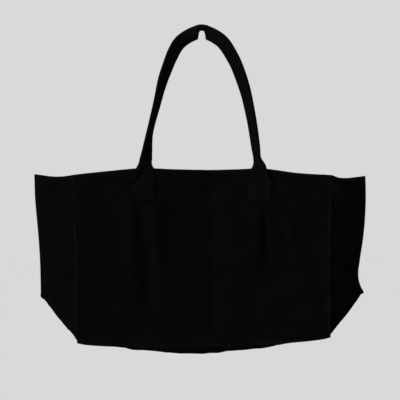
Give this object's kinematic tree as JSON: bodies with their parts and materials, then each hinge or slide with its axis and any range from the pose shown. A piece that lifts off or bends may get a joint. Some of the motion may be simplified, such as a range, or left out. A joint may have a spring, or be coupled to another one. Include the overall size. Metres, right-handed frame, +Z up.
{
  "type": "tote bag",
  "caption": "Wide soft canvas tote bag hanging empty by its strap handles, with flared side gussets, folded corners and an open hemmed mouth",
  "frame": {"origin": "The underside of the two handles, where they hang on a hook, midway between them", "axes": "+Z up, the front panel faces -Y, +X to the right of someone facing the front"},
  "size_m": [0.576, 0.1348, 0.5752],
  "materials": {
    "canvas": "plain-weave heavy cotton canvas, dyed black, matt, a little faded along creases and edges",
    "strap": "the same canvas folded and edge-stitched into a strap",
    "thread": "black spun polyester sewing thread, slightly shiny",
    "binding": "black cotton twill tape over the raw seam edges"
  },
  "bodies": {
    "root": {"front_base_binding": "binding", "front_left_gusset": "canvas", "front_right_gusset": "canvas", "back_panel": "canvas", "back_hem": "canvas", "back_hem_stitching": "thread", "back_base_binding": "binding", "back_left_handle_end": "strap", "back_left_handle_stitching": "thread", "back_left_ridge_seam": "canvas", "back_left_gusset": "canvas", "back_right_handle_end": "strap", "back_right_handle_stitching": "thread", "back_right_ridge_seam": "canvas", "back_right_gusset": "canvas", "left_gusset_hem": "canvas", "left_corner_flap": "canvas", "left_side_binding": "binding", "left_corner_binding": "binding", "right_gusset_hem": "canvas", "right_corner_flap": "canvas", "right_side_binding": "binding", "right_corner_binding": "binding", "base_panel": "canvas"},
    "front": {"front_panel": "canvas", "front_hem": "canvas", "front_hem_stitching": "thread", "front_left_handle_end": "strap", "front_left_handle_stitching": "thread", "front_left_ridge_seam": "canvas", "front_right_handle_end": "strap", "front_right_handle_stitching": "thread", "front_right_ridge_seam": "canvas"},
    "front_handle": {"front_handle_strap": "strap"},
    "back_handle": {"back_handle_strap": "strap"}
  },
  "joints": [
    {"name": "front_panel_open", "type": "hinge", "parent": "root", "child": "front", "pos_m": [0, -0.0652, -0.548], "axis": [1, 0, 0], "range_deg": [0, 10], "deforming": ["front_left_gusset", "back_left_gusset", "left_gusset_hem", "left_corner_flap", "left_side_binding", "left_corner_binding", "front_right_gusset", "back_right_gusset", "right_gusset_hem", "right_corner_flap", "right_side_binding", "right_corner_binding", "front_base_binding"]},
    {"name": "front_handle_swing", "type": "hinge", "parent": "front", "child": "front_handle", "pos_m": [0, -0.0387, -0.247], "axis": [1, 0, 0], "range_deg": [0, 172]},
    {"name": "back_handle_swing", "type": "hinge", "parent": "root", "child": "back_handle", "pos_m": [0, 0.0387, -0.247], "axis": [-1, 0, 0], "range_deg": [0, 172]}
  ]
}
